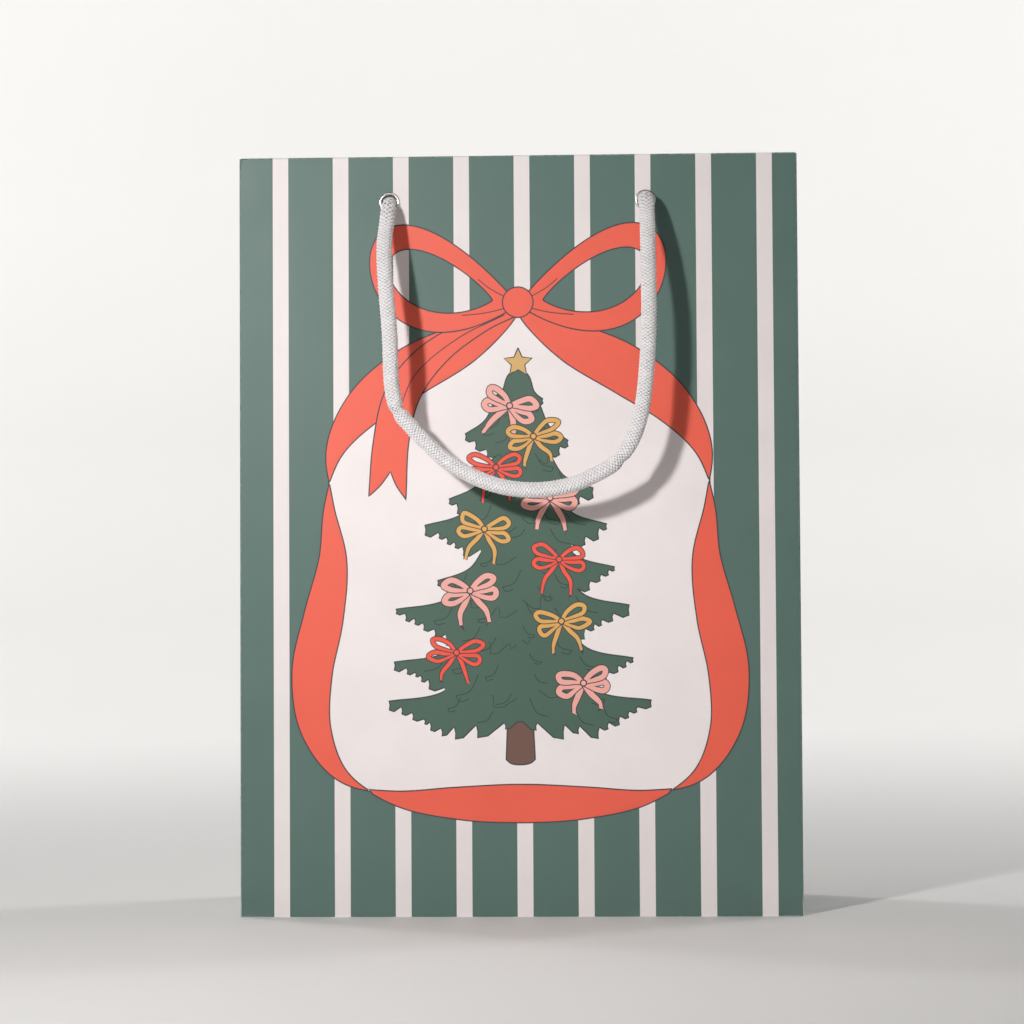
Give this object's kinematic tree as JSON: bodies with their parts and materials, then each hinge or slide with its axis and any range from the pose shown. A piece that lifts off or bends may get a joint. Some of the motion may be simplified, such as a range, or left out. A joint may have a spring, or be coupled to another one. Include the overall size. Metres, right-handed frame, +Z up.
{
  "type": "gift bag",
  "caption": "Standing paper gift bag with gusseted sides, a folded block bottom, a stiffened turned-in rim, eyelets and knotted braided cord handles.",
  "frame": {"origin": "middle of the bag's base, on the surface it stands on", "axes": "+Z up, -Y out of the front panel, +X to the right as the front is faced"},
  "size_m": [0.24, 0.1682, 0.326],
  "materials": {
    "printed_paper": "matt laminated print",
    "white_paper": "uncoated",
    "rim_card": "grey board",
    "base_board": "white-faced board",
    "eyelet_metal": "polished nickel plate",
    "cord_braid": "braided polyester"
  },
  "bodies": {
    "bag": {"front_panel": "printed_paper", "rear_panel": "printed_paper", "right_gusset_front_leaf": "printed_paper", "right_gusset_rear_leaf": "printed_paper", "left_gusset_rear_leaf": "printed_paper", "left_gusset_front_leaf": "printed_paper", "side_glue_flap": "white_paper", "front_hem": "printed_paper", "rear_hem": "printed_paper", "right_gusset_hem": "printed_paper", "left_gusset_hem": "printed_paper", "front_rim_card": "rim_card", "rear_rim_card": "rim_card", "bottom_rear_flap": "printed_paper", "bottom_front_flap": "printed_paper", "right_dust_flap": "white_paper", "left_dust_flap": "white_paper", "front_left_eyelet": "eyelet_metal", "front_right_eyelet": "eyelet_metal", "rear_left_eyelet": "eyelet_metal", "rear_right_eyelet": "eyelet_metal", "front_left_knot": "cord_braid", "front_right_knot": "cord_braid", "rear_left_knot": "cord_braid", "rear_right_knot": "cord_braid"},
    "front_handle": {"front_handle_cord": "cord_braid"},
    "rear_handle": {"rear_handle_cord": "cord_braid"},
    "bottom_board": {"bottom_board": "base_board"}
  },
  "joints": [
    {"name": "front_handle_swing", "type": "hinge", "parent": "bag", "child": "front_handle", "pos_m": [0, -0.062, 0.306], "axis": [-1, 0, 0], "range_deg": [-8, 165]},
    {"name": "rear_handle_swing", "type": "hinge", "parent": "bag", "child": "rear_handle", "pos_m": [0, 0.062, 0.306], "axis": [1, 0, 0], "range_deg": [-8, 165]},
    {"name": "board_lift", "type": "slide", "parent": "bag", "child": "bottom_board", "axis": [0, 0, 1], "range_m": [0, 0.28]}
  ]
}
